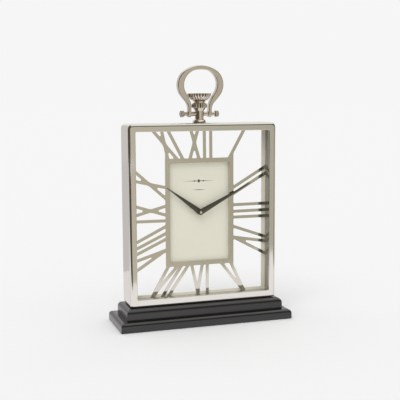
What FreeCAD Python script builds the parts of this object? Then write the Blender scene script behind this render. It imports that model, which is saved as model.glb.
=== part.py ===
"""Skeleton mantel clock: nickel frame with a pierced numeral plate, on a two-tier black base.

Millimetres. The origin is the middle of the underside, X to the right, Y to the back and Z up.
"""
import FreeCAD, Part
import math
import os

V = FreeCAD.Vector

# Base boards, felt and seat pad
felt_thickness = 1.0
felt_inset = 3.0
lower_width = 280.0
lower_depth = 91.5
lower_height = 14.2
lower_round = 5.8
upper_setback = 12.0
upper_height = 17.4
upper_round = 7.6
seat_pad_thickness = 1.2

# Screws in the base
tier_screw_radius = 2.0
tier_screw_head_radius = 4.0
tier_screw_grip = 10.0
tier_screw_edge_x = 18.0
tier_screw_edge_y = 13.0
frame_bolt_radius = 2.5
frame_bolt_head_radius = 4.25
frame_bolt_head_height = 4.0
frame_bolt_grip = 5.0
frame_bolt_spacing = 150.0
counterbore_depth = 5.0
hole_clearance = 0.25
screw_fit = 0.02
screw_slip = 0.12

# Frame of four mitred rails
frame_width = 240.5
frame_depth = 49.5
frame_height = 281.7
frame_round = 4.5
top_corner = 8.0
foot_corner = 5.0
back_round = 1.5
foot_trim = 1.5
side_bezel = 11.5
top_bezel = 12.2
bottom_bezel = 11.5
bezel_thickness = 5.0
bezel_round = 1.0
bezel_corner = 1.6
wall = 8.5
rear_side_wall = 3.6
rear_end_wall = 6.6
side_ledge = 6.3
end_ledge = 3.9
ledge_thickness = 1.6

# Pierced plate: dial surround and numeral strokes
fret_setback = 23.0
fret_thickness = 2.0
fret_play = 0.15
stroke_width = 4.8
surround_width = 112.8
surround_height = 171.0
surround_border = 7.0
dial_rise = -0.05

# Dial behind the surround
dial_setback = 5.6
dial_thickness = 1.0
dial_inset = 1.0
dial_screw_radius = 1.0
dial_screw_head_radius = 2.0
dial_screw_head_height = 1.4
dial_screw_grip = 2.6

# Battery movement
gasket_thickness = 0.8
gasket_radius = 9.0
case_height = 56.0
case_wall = 1.5
case_corner = 4.0
cover_thickness = 1.5
battery_radius = 7.1
battery_length = 50.5
battery_nub_radius = 2.6
battery_nub_height = 1.2
battery_play = 0.3
battery_recess = 0.5
contact_thickness = 0.5
spring_height = 1.1
bush_radius = 3.9
bush_proud = 2.8
nut_radius = 5.0
nut_height = 2.0
bearing_radius = 3.0
bearing_length = 2.5

# Wheels between the two hands
motion_centre = 7.5
motion_angle = 45.0
cannon_teeth = 12
motion_teeth = 36
motion_pinion_teeth = 10
hour_teeth = 40
wheel_thickness = 0.8
wheel_gap = 0.4
post_radius = 0.6
knob_shaft_radius = 1.4
knob_radius = 5.5
knob_height = 3.0
knob_flutes = 12
knob_flute_radius = 0.8
running_gap = 0.08
end_gap = 0.2

# Parts of the step motor
coil_radius = 3.4
coil_core_radius = 1.6
coil_length = 18.0
coil_flange = 1.2
stator_width = 24.0
stator_height = 5.0
stator_thickness = 1.0
board_width = 14.0
board_height = 16.0
board_thickness = 1.0
board_post_height = 3.0
board_post_radius = 1.5

# Hands
arbor_radius = 1.3
tube_wall = 0.85
hand_hub_radius = 4.6
hand_tip_width = 0.7
hand_edge = 0.35
hand_ridge = 1.0
hour_length = 67.5
minute_length = 95.0
hour_hand_angle = -53.5
minute_hand_angle = 62.5
hand_gap = 0.9
cap_radius = 2.2
cap_height = 1.8

# Turned stem, collar and crown on the frame's top
stem_foot_radius = 11.2
stem_foot_height = 5.9
barrel_radius = 7.1
barrel_top = 18.4
cup_radius = 10.4
collar_bottom = 23.1
collar_height = 7.9
collar_radius = 12.2
collar_lobes = 16
collar_lobe_depth = 0.9
collar_top_bevel = 2.2
collar_bottom_bevel = 1.2
spigot_radius = 4.0
spigot_depth = 5.0
neck_radius = 7.6
neck_height = 0.8
waist_height = 4.7
waist_hollow = 0.6
knee_radius = 11.5
knee_height = 8.6
bowl_swell = 2.0
crown_radius = 19.0
crown_lip = 1.2
crown_flutes = 24
crown_flute_radius = 1.4
socket_depth = 9.0

# Cross rod and what sits on it
rod_height = 14.0
rod_radius = 2.5
spot_face = 6.5
spacer_radius = 3.5
rod_collar_radius = 3.4
rod_collar_length = 3.4
thumb_neck_radius = 2.9
thumb_neck_length = 2.4
thumb_radius = 5.1
thumb_length = 6.4
thumb_ribs = 16
thumb_rib_depth = 0.5
thumb_socket = 4.5

# Bow: two curves, outer and inner, each a crown arc, a shoulder arc, a slanted run and a neck arc
bow_thickness = 10.5
bow_edge_round = 1.4
bow_lean = 6.0
bow_side_gap = 0.2
outer_top = 75.4
outer_crown_radius = 44.8
outer_crown_end = 56.0
outer_shoulder_radius = 27.4
outer_slant = 40.5
outer_neck_radius = 17.8
leg_outer = 19.1
inner_top = 69.0
inner_crown_radius = 48.0
inner_crown_end = 81.0
inner_shoulder_radius = 23.2
inner_slant = 29.4
inner_neck_radius = 25.4
leg_inner = 14.3

# Strokes of each numeral: its share of the way along the surround's side, then along the frame's side
numerals = {
    "XI": ("top", [(-0.67, -0.70), (-0.925, -0.56), (-0.50, -0.475)]),
    "XII": ("top", [(-0.025, -0.135), (-0.28, -0.02), (0.145, 0.07), (0.33, 0.165)]),
    "I": ("top", [(0.89, 0.685)]),
    "II": ("right", [(0.435, 0.525), (0.315, 0.445)]),
    "III": ("right", [(0.105, 0.07), (-0.02, -0.01), (-0.13, -0.085)]),
    "IV": ("right", [(-0.305, -0.345), (-0.51, -0.40), (-0.51, -0.555)]),
    "V": ("bottom", [(0.65, 0.655), (0.925, 0.668)]),
    "VI": ("bottom", [(-0.25, -0.035), (0.06, -0.042), (0.21, 0.105)]),
    "VII": ("bottom", [(-0.945, -0.715), (-0.68, -0.715), (-0.565, -0.565), (-0.365, -0.475)]),
    "VIII": ("left", [(-0.24, -0.36), (-0.37, -0.433), (-0.477, -0.50), (-0.68, -0.57), (-0.68, -0.705)]),
    "IX": ("left", [(-0.03, 0.112), (0.135, -0.025), (-0.135, -0.083)]),
    "X": ("left", [(0.277, 0.55), (0.478, 0.405)]),
}

# Levels and stations that follow from the sizes above
lower_top = felt_thickness + lower_height
upper_width = lower_width - 2 * upper_setback
upper_depth = lower_depth - 2 * upper_setback
upper_top = lower_top + upper_height
frame_bottom = upper_top + seat_pad_thickness
frame_top = frame_bottom + frame_height
frame_middle = (frame_bottom + frame_top) / 2
frame_front = -frame_depth / 2
open_half_x = frame_width / 2 - wall
open_half_z = frame_height / 2 - wall
fret_front = frame_front + fret_setback
fret_back = fret_front + fret_thickness
dial_z = frame_middle + dial_rise
dial_front = fret_front + dial_setback
dial_back = dial_front + dial_thickness
case_front = dial_back + gasket_thickness
case_inside = case_front + case_wall
case_width = battery_length + 2 * contact_thickness + spring_height + 2 * battery_play + 2 * case_wall
case_depth = case_wall + battery_play + 2 * battery_radius + battery_recess
case_back = case_front + case_depth
cover_front = case_back - cover_thickness
bay_height = 2 * (battery_radius + battery_play)
case_bottom = dial_z - case_height / 2
shelf_bottom = case_bottom + case_wall + bay_height
shelf_top = shelf_bottom + case_wall
tube_radius = arbor_radius + running_gap + tube_wall
hour_wheel_front = case_inside + end_gap
pinion_front = hour_wheel_front + wheel_thickness + wheel_gap
motion_wheel_front = pinion_front + end_gap
motion_wheel_back = motion_wheel_front + wheel_thickness
pinion_back = motion_wheel_back + end_gap
module_fast = 2 * motion_centre / (cannon_teeth + motion_teeth)
module_slow = 2 * motion_centre / (motion_pinion_teeth + hour_teeth)
hour_hand_back = fret_front - hand_gap
hour_hand_front = hour_hand_back - hand_ridge
minute_hand_back = hour_hand_front - hand_gap
minute_hand_front = minute_hand_back - hand_ridge
rod_z = frame_top + rod_height
thumb_start = leg_outer + bow_side_gap + rod_collar_length
rod_end = thumb_start + thumb_neck_length + thumb_socket


def box(x0, x1, y0, y1, z0, z1):
    """Block between two corners."""
    return Part.makeBox(x1 - x0, y1 - y0, z1 - z0, V(x0, y0, z0))


def rod_x(radius, x0, x1, z, y=0.0):
    """Round bar along X."""
    return Part.makeCylinder(radius, x1 - x0, V(x0, y, z), V(1, 0, 0))


def rod_y(radius, y0, y1, x=0.0, z=dial_z):
    """Round bar along Y."""
    return Part.makeCylinder(radius, y1 - y0, V(x, y0, z), V(0, 1, 0))


def rod_z_bar(radius, z0, z1, x=0.0, y=0.0):
    """Round bar along Z."""
    return Part.makeCylinder(radius, z1 - z0, V(x, y, z0), V(0, 0, 1))


def plate_y(points, y0, y1):
    """Plate whose outline is a polygon of (x, z) points, between two Y stations."""
    corners = [V(x, y0, z) for x, z in points]
    outline = Part.makePolygon(corners + corners[:1])
    return Part.Face(outline).extrude(V(0, y1 - y0, 0))


def turned(profile, base_z):
    """Solid turned about the Z axis from edges drawn in the XZ plane, raised to base_z."""
    solid = Part.Face(Part.Wire(Part.__sortEdges__(profile))).revolve(V(0, 0, 0), V(0, 0, 1), 360)
    solid.translate(V(0, 0, base_z))
    return solid


def line(a, b):
    """Straight edge between two (x, z) points."""
    return Part.LineSegment(V(a[0], 0, a[1]), V(b[0], 0, b[1])).toShape()


def arc(a, middle, b):
    """Circular edge through three (x, z) points."""
    return Part.Arc(V(a[0], 0, a[1]), V(middle[0], 0, middle[1]), V(b[0], 0, b[1])).toShape()


def bowed(a, b, swell):
    """Circular arc between two (x, z) points that stands off their chord by swell, to its right."""
    length = math.hypot(b[0] - a[0], b[1] - a[1])
    across = ((b[1] - a[1]) / length, (a[0] - b[0]) / length)
    middle = ((a[0] + b[0]) / 2 + swell * across[0], (a[1] + b[1]) / 2 + swell * across[1])
    return arc(a, middle, b)


def on_circle(centre, radius, degrees):
    """Point (x, z) of a circle at an angle from +X."""
    turn = math.radians(degrees)
    return (centre[0] + radius * math.cos(turn), centre[1] + radius * math.sin(turn))


def chain(points):
    """Straight edges through points, in order."""
    return [line(a, b) for a, b in zip(points, points[1:])]


def ribbed_outline(radius, depth, ribs):
    """Star outline of ribs: crest and valley points in turn."""
    step = 180.0 / ribs
    return [on_circle((0, 0), radius - depth * (i % 2), i * step) for i in range(2 * ribs)]


def moulded_board(width, depth, z0, z1, radius):
    """Board whose top edges carry a quarter round on all four sides, mitred at the corners."""
    def profile(half):
        shoulder = z1 - radius
        run = half - radius
        corner = radius * math.sqrt(0.5)
        right = arc((half, shoulder), (run + corner, shoulder + corner), (run, z1))
        left = arc((-half, shoulder), (-run - corner, shoulder + corner), (-run, z1))
        sides = chain([(-half, shoulder), (-half, z0), (half, z0), (half, shoulder)])
        return Part.Face(Part.Wire(Part.__sortEdges__(sides + [right, left, line((-run, z1), (run, z1))])))

    across = profile(width / 2).extrude(V(0, depth, 0))
    across.translate(V(0, -depth / 2, 0))
    along = profile(depth / 2).extrude(V(0, width, 0))
    along.rotate(V(0, 0, 0), V(0, 0, 1), -90)
    along.translate(V(-width / 2, 0, 0))
    return across.common(along)


def tier_screw_places():
    """Where the four wood screws stand."""
    x = upper_width / 2 - tier_screw_edge_x
    y = upper_depth / 2 - tier_screw_edge_y
    return [(i * x, j * y) for i in (-1, 1) for j in (-1, 1)]


def frame_bolt_places():
    """Where the two frame bolts stand."""
    return [(i * frame_bolt_spacing / 2, 0.0) for i in (-1, 1)]


def tier_screw(x, y, extra):
    """Countersunk wood screw from the underside, or its hole when extra is the clearance."""
    cone = tier_screw_head_radius - tier_screw_radius
    head = Part.makeCone(tier_screw_head_radius + extra, tier_screw_radius + extra, cone,
                         V(x, y, felt_thickness), V(0, 0, 1))
    return head.fuse(rod_z_bar(tier_screw_radius + extra, felt_thickness, lower_top + tier_screw_grip, x, y))


def frame_bolt(x, y, extra, head_extra, rail_extra):
    """Bolt from a counterbore in the lower board up into the bottom rail, or its hole."""
    seat = felt_thickness + counterbore_depth
    head = rod_z_bar(frame_bolt_head_radius + head_extra, seat - frame_bolt_head_height - head_extra, seat, x, y)
    shank = rod_z_bar(frame_bolt_radius + extra, seat, frame_bottom, x, y)
    tip = rod_z_bar(frame_bolt_radius + rail_extra, frame_bottom, frame_bottom + frame_bolt_grip, x, y)
    return head.fuse([shank, tip])


def bolt_holes(screw_clearance):
    """Everything that the boards and the pad are drilled with."""
    opening = felt_thickness + counterbore_depth
    holes = []
    for x, y in frame_bolt_places():
        holes.append(rod_z_bar(frame_bolt_radius + hole_clearance, felt_thickness, frame_bottom, x, y))
        holes.append(rod_z_bar(frame_bolt_head_radius + hole_clearance, felt_thickness, opening, x, y))
    for x, y in tier_screw_places():
        holes.append(tier_screw(x, y, screw_clearance))
    return holes


def base_parts():
    """Felt, two boards, seat pad and the screws that hold them."""
    felt_x = lower_width / 2 - felt_inset
    felt_y = lower_depth / 2 - felt_inset
    pad_x = frame_width / 2 - frame_round
    pad_y = frame_depth / 2 - frame_round
    lower = moulded_board(lower_width, lower_depth, felt_thickness, lower_top, lower_round)
    upper = moulded_board(upper_width, upper_depth, lower_top, upper_top, upper_round)
    pad = box(-pad_x, pad_x, -pad_y, pad_y, upper_top, frame_bottom)
    bolts = [frame_bolt(x, y, 0.0, 0.0, 0.0) for x, y in frame_bolt_places()]
    screws = [tier_screw(x, y, 0.0) for x, y in tier_screw_places()]
    return {
        "base_felt": box(-felt_x, felt_x, -felt_y, felt_y, 0.0, felt_thickness),
        "base_lower_tier": lower.cut(bolt_holes(screw_slip)),
        "base_upper_tier": upper.cut(bolt_holes(screw_fit)),
        "frame_seat_pad": pad.cut(bolt_holes(screw_fit)),
        "frame_bolts": Part.makeCompound(bolts),
        "tier_screws": Part.makeCompound(screws),
    }


def frame_ring():
    """Deep frame: rounded bezel in front, a recessed wall, a ledge for the pierced plate, a thin wall behind it."""
    half_x = frame_width / 2
    bezel_x = half_x - side_bezel
    bezel_low, bezel_high = frame_bottom + bottom_bezel, frame_top - top_bezel
    ledge_x = open_half_x - side_ledge
    ledge_z = open_half_z - end_ledge
    back = frame_depth / 2

    def deep_edges(block):
        return [e for e in block.Edges if abs(e.tangentAt(e.FirstParameter).y) > 0.9]

    def loop_at(block, y):
        return [e for e in block.Edges if abs(e.BoundBox.YMin - y) < 0.01 and abs(e.BoundBox.YMax - y) < 0.01]

    ring = box(-half_x, half_x, frame_front, back, frame_bottom - foot_trim, frame_top)
    ring = ring.makeFillet(top_corner, [e for e in deep_edges(ring) if e.BoundBox.ZMin > frame_middle])
    ring = ring.makeFillet(foot_corner, [e for e in deep_edges(ring) if e.BoundBox.ZMax < frame_middle])
    ring = ring.makeFillet(frame_round, loop_at(ring, frame_front))
    ring = ring.makeFillet(back_round, loop_at(ring, back))
    ring = ring.cut(box(-half_x, half_x, frame_front, back, frame_bottom - foot_trim, frame_bottom))

    def opening(x, z, y0, y1):
        return box(-x, x, y0, y1, frame_middle - z, frame_middle + z)

    front = box(-bezel_x, bezel_x, frame_front - bezel_corner, frame_front + bezel_thickness, bezel_low, bezel_high)
    ring = ring.cut(front.makeFillet(bezel_corner, deep_edges(front)))
    ring = ring.cut(opening(open_half_x, open_half_z, frame_front + bezel_thickness, fret_back))
    ring = ring.cut(opening(ledge_x, ledge_z, fret_back, fret_back + ledge_thickness))
    ring = ring.cut(opening(half_x - rear_side_wall, frame_height / 2 - rear_end_wall,
                            fret_back + ledge_thickness, back + frame_round))
    rim = [e for e in ring.Edges
           if abs(e.BoundBox.YMax - frame_front) < 0.01
           and e.BoundBox.XMax < bezel_x + 0.01 and e.BoundBox.XMin > -bezel_x - 0.01
           and e.BoundBox.ZMax < bezel_high + 0.01 and e.BoundBox.ZMin > bezel_low - 0.01]
    return ring.makeFillet(bezel_round, rim)


def frame_parts():
    """The ring cut along its mitres into two rails and two stiles."""
    ring = frame_ring()
    out = frame_round
    deep = max(side_bezel, top_bezel, wall + side_ledge, wall + end_ledge) + frame_round
    x_out, x_in = frame_width / 2 + out, frame_width / 2 - deep
    top_out, top_in = frame_top + out, frame_top - deep
    bottom_out, bottom_in = frame_bottom - out, frame_bottom + deep
    y0, y1 = frame_front - out, frame_depth / 2 + out
    wedges = {
        "frame_top_rail": [(-x_out, top_out), (x_out, top_out), (x_in, top_in), (-x_in, top_in)],
        "frame_bottom_rail": [(-x_out, bottom_out), (x_out, bottom_out), (x_in, bottom_in), (-x_in, bottom_in)],
        "frame_left_stile": [(-x_out, top_out), (-x_in, top_in), (-x_in, bottom_in), (-x_out, bottom_out)],
        "frame_right_stile": [(x_out, top_out), (x_in, top_in), (x_in, bottom_in), (x_out, bottom_out)],
    }
    parts = {name: ring.common(plate_y(points, y0, y1)) for name, points in wedges.items()}
    tapped = [frame_bolt(x, y, hole_clearance, 0.0, screw_fit) for x, y in frame_bolt_places()]
    parts["frame_bottom_rail"] = parts["frame_bottom_rail"].cut(tapped)
    spigot = rod_z_bar(spigot_radius + screw_fit, frame_top - spigot_depth, frame_top + 1.0)
    parts["frame_top_rail"] = parts["frame_top_rail"].cut(spigot)
    return parts


def stroke(side, at_surround, at_frame, half_x, half_z):
    """One straight bar of a numeral, run past both of its ends."""
    if side in ("top", "bottom"):
        up = 1 if side == "top" else -1
        start = (at_surround * surround_width / 2, dial_z + up * surround_height / 2)
        end = (at_frame * half_x, frame_middle + up * half_z)
    else:
        out = 1 if side == "right" else -1
        start = (out * surround_width / 2, dial_z + at_surround * surround_height / 2)
        end = (out * half_x, frame_middle + at_frame * half_z)
    length = math.hypot(end[0] - start[0], end[1] - start[1])
    run = ((end[0] - start[0]) / length, (end[1] - start[1]) / length)
    across = (-run[1] * stroke_width / 2, run[0] * stroke_width / 2)
    near = (start[0] - run[0] * stroke_width, start[1] - run[1] * stroke_width)
    far = (end[0] + run[0] * 2 * stroke_width, end[1] + run[1] * 2 * stroke_width)
    corners = [(near[0] + across[0], near[1] + across[1]), (far[0] + across[0], far[1] + across[1]),
               (far[0] - across[0], far[1] - across[1]), (near[0] - across[0], near[1] - across[1])]
    return plate_y(corners, fret_front, fret_back)


def numeral_fret():
    """Pierced plate: rectangular surround with the twelve numerals reaching out to the frame's wall."""
    half_x = open_half_x - fret_play
    half_z = open_half_z - fret_play
    plate = box(-half_x, half_x, fret_front, fret_back, frame_middle - half_z, frame_middle + half_z)
    ring_x, ring_z = surround_width / 2, surround_height / 2
    hole_x, hole_z = ring_x - surround_border, ring_z - surround_border
    surround = box(-ring_x, ring_x, fret_front, fret_back, dial_z - ring_z, dial_z + ring_z)
    hole = box(-hole_x, hole_x, fret_front - 1, fret_back + 1, dial_z - hole_z, dial_z + hole_z)
    bars = [stroke(side, a, b, half_x, half_z) for side, pairs in numerals.values() for a, b in pairs]
    return surround.fuse(bars).common(plate).cut(hole).removeSplitter()


def dial_screw_places():
    """Corners of the dial, on the middle of its spacer's border."""
    x = surround_width / 2 - (surround_border + dial_inset) / 2
    z = surround_height / 2 - (surround_border + dial_inset) / 2
    return [(i * x, dial_z + j * z) for i in (-1, 1) for j in (-1, 1)]


def dial_parts():
    """Spacer, dial plate, screws, gasket and nut."""
    out_x, out_z = surround_width / 2 - dial_inset, surround_height / 2 - dial_inset
    in_x, in_z = surround_width / 2 - surround_border, surround_height / 2 - surround_border
    spacer = box(-out_x, out_x, fret_back, dial_front, dial_z - out_z, dial_z + out_z)
    spacer = spacer.cut(box(-in_x, in_x, fret_back, dial_front, dial_z - in_z, dial_z + in_z))
    dial = box(-out_x, out_x, dial_front, dial_back, dial_z - out_z, dial_z + out_z)
    screws = []
    for x, z in dial_screw_places():
        tip = dial_back - dial_thickness - dial_screw_grip
        hole = rod_y(dial_screw_radius + screw_fit, tip, dial_back, x, z)
        spacer = spacer.cut(hole)
        dial = dial.cut(hole)
        head = rod_y(dial_screw_head_radius, dial_back, dial_back + dial_screw_head_height, x, z)
        head = head.makeFillet(dial_screw_head_height / 3, head.Edges[:1])
        screws.append(head.fuse(rod_y(dial_screw_radius, tip, dial_back, x, z)))
    bush_hole = rod_y(bush_radius + hole_clearance, dial_front, case_front)
    gasket = rod_y(gasket_radius, dial_back, case_front)
    nut_outline = [on_circle((0, dial_z), nut_radius, 60 * i) for i in range(6)]
    nut = plate_y(nut_outline, dial_front - nut_height, dial_front)
    return {
        "dial_spacer_frame": spacer,
        "dial_plate": dial.cut(bush_hole),
        "dial_screws": Part.makeCompound(screws),
        "movement_gasket": gasket.cut(bush_hole),
        "movement_nut": nut.cut(rod_y(bush_radius + screw_fit, dial_front - nut_height, dial_front)),
    }


def motion_place(steps):
    """Axis of the motion wheel (1 step out from the arbor) or of the setting wheel (2 steps)."""
    return on_circle((0, dial_z), steps * motion_centre, motion_angle)


def gear(module, teeth, y0, y1, place, tooth_angle):
    """Spur wheel with straight-flanked teeth and free backlash; one tooth points along tooth_angle."""
    pitch = module * teeth / 2
    root, tip = pitch - 1.15 * module, pitch + 0.75 * module
    step = 360.0 / teeth
    outline = []
    for i in range(teeth):
        middle = tooth_angle + i * step
        outline += [on_circle(place, root, middle - 0.29 * step), on_circle(place, tip, middle - 0.12 * step),
                    on_circle(place, tip, middle + 0.12 * step), on_circle(place, root, middle + 0.29 * step)]
    return plate_y(outline, y0, y1)


def movement_shell():
    """Outside of the movement: a square box with rounded corners."""
    half = case_width / 2
    shell = box(-half, half, case_front, case_back, case_bottom, case_bottom + case_height)
    corners = [e for e in shell.Edges if abs(e.tangentAt(e.FirstParameter).y) > 0.9]
    return shell.makeFillet(case_corner, corners)


def cover_block():
    """Room that the rear cover takes up, above the battery bay."""
    half = case_width / 2
    return box(-half, half, cover_front, case_back, shelf_bottom, case_bottom + case_height)


def board_post_places():
    """Two posts under the circuit board."""
    x = -case_width / 2 + case_wall + board_width / 2 + 1.0
    z = shelf_top + board_height / 2 + 1.0
    return [(x, z - board_height / 4), (x, z + board_height / 4)]


def movement_parts():
    """Front case with bush and posts, and the rear cover with its bearing."""
    inner = case_width / 2 - case_wall
    top = case_bottom + case_height - case_wall
    wheel_room = box(-inner, inner, case_inside, case_back, shelf_top, top)
    bay = box(-inner, inner, case_inside, case_back, case_bottom + case_wall, shelf_bottom)
    shell = movement_shell()
    case = shell.cut([wheel_room, bay, cover_block()])
    case = case.fuse(rod_y(bush_radius, dial_front - bush_proud, case_inside))
    for steps in (1, 2):
        x, z = motion_place(steps)
        case = case.fuse(rod_y(post_radius, case_inside - case_wall / 2, pinion_back, x, z))
    for x, z in board_post_places():
        case = case.fuse(rod_y(board_post_radius, case_inside - case_wall / 2, case_inside + board_post_height, x, z))
    case = case.cut(rod_y(tube_radius + running_gap, dial_front - bush_proud, case_inside))
    bearing_front = pinion_back + end_gap
    knob_x, knob_z = motion_place(2)
    cover = shell.common(cover_block())
    cover = cover.fuse(rod_y(bearing_radius, bearing_front, cover_front + cover_thickness / 2))
    cover = cover.cut(rod_y(arbor_radius + running_gap, bearing_front, bearing_front + bearing_length + end_gap))
    cover = cover.cut(rod_y(knob_shaft_radius + running_gap, cover_front, case_back, knob_x, knob_z))
    return {"movement_front_case": case.removeSplitter(), "movement_rear_cover": cover.removeSplitter()}


def motor_parts():
    """Coil on its bobbin, stator plate and circuit board, seated in the front case."""
    left = -case_width / 2 + case_wall
    top = case_bottom + case_height - case_wall
    flange_radius = coil_radius + 0.4
    coil_y = case_inside + flange_radius
    coil_z = top - flange_radius - end_gap
    coil_x = left + 1.0
    coil = rod_x(coil_radius, coil_x, coil_x + coil_length, coil_z, coil_y)
    for x in (coil_x, coil_x + coil_length - coil_flange):
        coil = coil.fuse(rod_x(flange_radius, x, x + coil_flange, coil_z, coil_y))
    core = rod_x(coil_core_radius, coil_x - 0.8, coil_x + coil_length + 0.8, coil_z, coil_y)
    stator_top = coil_z - flange_radius - end_gap
    stator = box(left + 1.0, left + 1.0 + stator_width, case_inside, case_inside + stator_thickness,
                 stator_top - stator_height, stator_top)
    places = board_post_places()
    board_y = case_inside + board_post_height
    middle_z = (places[0][1] + places[1][1]) / 2
    board = box(places[0][0] - board_width / 2, places[0][0] + board_width / 2, board_y, board_y + board_thickness,
                middle_z - board_height / 2, middle_z + board_height / 2)
    return {"coil": coil.fuse(core), "stator": stator, "circuit_board": board}


def battery_parts():
    """Battery lying in its bay, with a flat contact at its nub and a sprung one at its base."""
    inner = case_width / 2 - case_wall
    y = case_inside + battery_play + battery_radius
    z = case_bottom + case_wall + bay_height / 2
    right = inner - contact_thickness - battery_play
    can_end = right - battery_nub_height
    can_start = right - battery_length
    can = rod_x(battery_radius, can_start, can_end, z, y)
    can = can.makeFillet(0.6, [e for e in can.Edges if e.Closed])
    nub = rod_x(battery_nub_radius, can_end - 0.5, right, z, y)
    reach = battery_radius * 0.6
    positive = box(inner - contact_thickness, inner, y - reach, y + reach, z - reach, z + reach)
    negative = box(-inner, -inner + contact_thickness, y - reach, y + reach, z - reach, z + reach)
    spring = Part.makeCone(reach, reach / 2, spring_height, V(-inner + contact_thickness, y, z), V(1, 0, 0))
    return {
        "battery": can.fuse(nub),
        "battery_contact_positive": positive,
        "battery_contact_negative": negative.fuse(spring),
    }


def wheel_parts():
    """Arbor with cannon pinion, hour wheel on its tube, motion wheel with pinion, and setting knob."""
    centre = (0.0, dial_z)
    out = motion_angle
    back = motion_angle + 180.0
    bearing_end = pinion_back + end_gap + bearing_length
    arbor = rod_y(arbor_radius, minute_hand_front - cap_height / 2, bearing_end)
    arbor = arbor.fuse(gear(module_fast, cannon_teeth, pinion_front, pinion_back, centre, out))

    hour = gear(module_slow, hour_teeth, hour_wheel_front, hour_wheel_front + wheel_thickness, centre, out)
    hour = hour.fuse(rod_y(tube_radius, hour_hand_front, hour_wheel_front + wheel_thickness))
    hour = hour.cut(rod_y(arbor_radius + running_gap, hour_hand_front, hour_wheel_front + wheel_thickness))

    place = motion_place(1)
    half_tooth = 180.0 / motion_teeth
    pinion_half = 180.0 / motion_pinion_teeth
    motion = gear(module_fast, motion_teeth, motion_wheel_front, motion_wheel_back, place, back + half_tooth)
    small = gear(module_slow, motion_pinion_teeth, hour_wheel_front, motion_wheel_front, place, back + pinion_half)
    hole = rod_y(post_radius + running_gap, hour_wheel_front, motion_wheel_back, place[0], place[1])
    motion = motion.fuse(small).cut(hole)

    x, z = motion_place(2)
    knob_front = case_back + end_gap
    knob = rod_y(knob_radius, knob_front, knob_front + knob_height, x, z)
    flutes = []
    for i in range(knob_flutes):
        fx, fz = on_circle((x, z), knob_radius, i * 360.0 / knob_flutes)
        flutes.append(rod_y(knob_flute_radius, knob_front, knob_front + knob_height, fx, fz))
    knob = knob.cut(flutes)
    knob = knob.fuse(rod_y(knob_shaft_radius, motion_wheel_front, knob_front + knob_height / 2, x, z))
    knob = knob.fuse(gear(module_fast, cannon_teeth, motion_wheel_front, motion_wheel_back, (x, z), back))
    knob = knob.cut(rod_y(post_radius + running_gap, motion_wheel_front, pinion_back + end_gap, x, z))
    return {"minute_arbor": arbor, "hour_wheel": hour, "motion_wheel": motion, "setting_knob": knob}


def hand(length, back, hole_radius, angle):
    """Tapered hand with a round hub and a raised middle ridge, turned clockwise from twelve."""
    front = back - hand_ridge
    tip = hand_tip_width / 2
    lean = math.degrees(math.asin((hand_hub_radius - tip) / length))
    right = on_circle((0, 0), hand_hub_radius, lean)
    outline = [line((tip, length), right), line((-right[0], right[1]), (-tip, length)), line((-tip, length), (tip, length)),
               arc(right, (0, -hand_hub_radius), (-right[0], right[1]))]
    blank = Part.Face(Part.Wire(Part.__sortEdges__(outline))).extrude(V(0, hand_ridge, 0))
    blank.translate(V(0, front, 0))
    roof_points = [V(-hand_hub_radius, back, 0), V(hand_hub_radius, back, 0), V(hand_hub_radius, back - hand_edge, 0),
                   V(0, front, 0), V(-hand_hub_radius, back - hand_edge, 0)]
    roof = Part.Face(Part.makePolygon(roof_points + roof_points[:1])).extrude(V(0, 0, length + 2 * hand_hub_radius))
    roof.translate(V(0, 0, -hand_hub_radius))
    solid = blank.common(roof)
    solid = solid.cut(rod_y(hole_radius, front, back, 0.0, 0.0))
    solid.rotate(V(0, 0, 0), V(0, 1, 0), angle)
    solid.translate(V(0, 0, dial_z))
    return solid


def hand_parts():
    """Hour hand on the tube, minute hand on the arbor, and the cap that holds it."""
    cap = rod_y(cap_radius, minute_hand_front - cap_height, minute_hand_front)
    rim = [e for e in cap.Edges if e.Closed and abs(e.BoundBox.YMax - (minute_hand_front - cap_height)) < 0.01]
    cap = cap.makeFillet(cap_height / 2.5, rim)
    cap = cap.cut(rod_y(arbor_radius + screw_fit, minute_hand_front - cap_height / 2, minute_hand_front))
    return {
        "hour_hand": hand(hour_length, hour_hand_back, tube_radius + screw_fit, hour_hand_angle),
        "minute_hand": hand(minute_length, minute_hand_back, arbor_radius + screw_fit, minute_hand_angle),
        "hand_nut": cap,
    }


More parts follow.
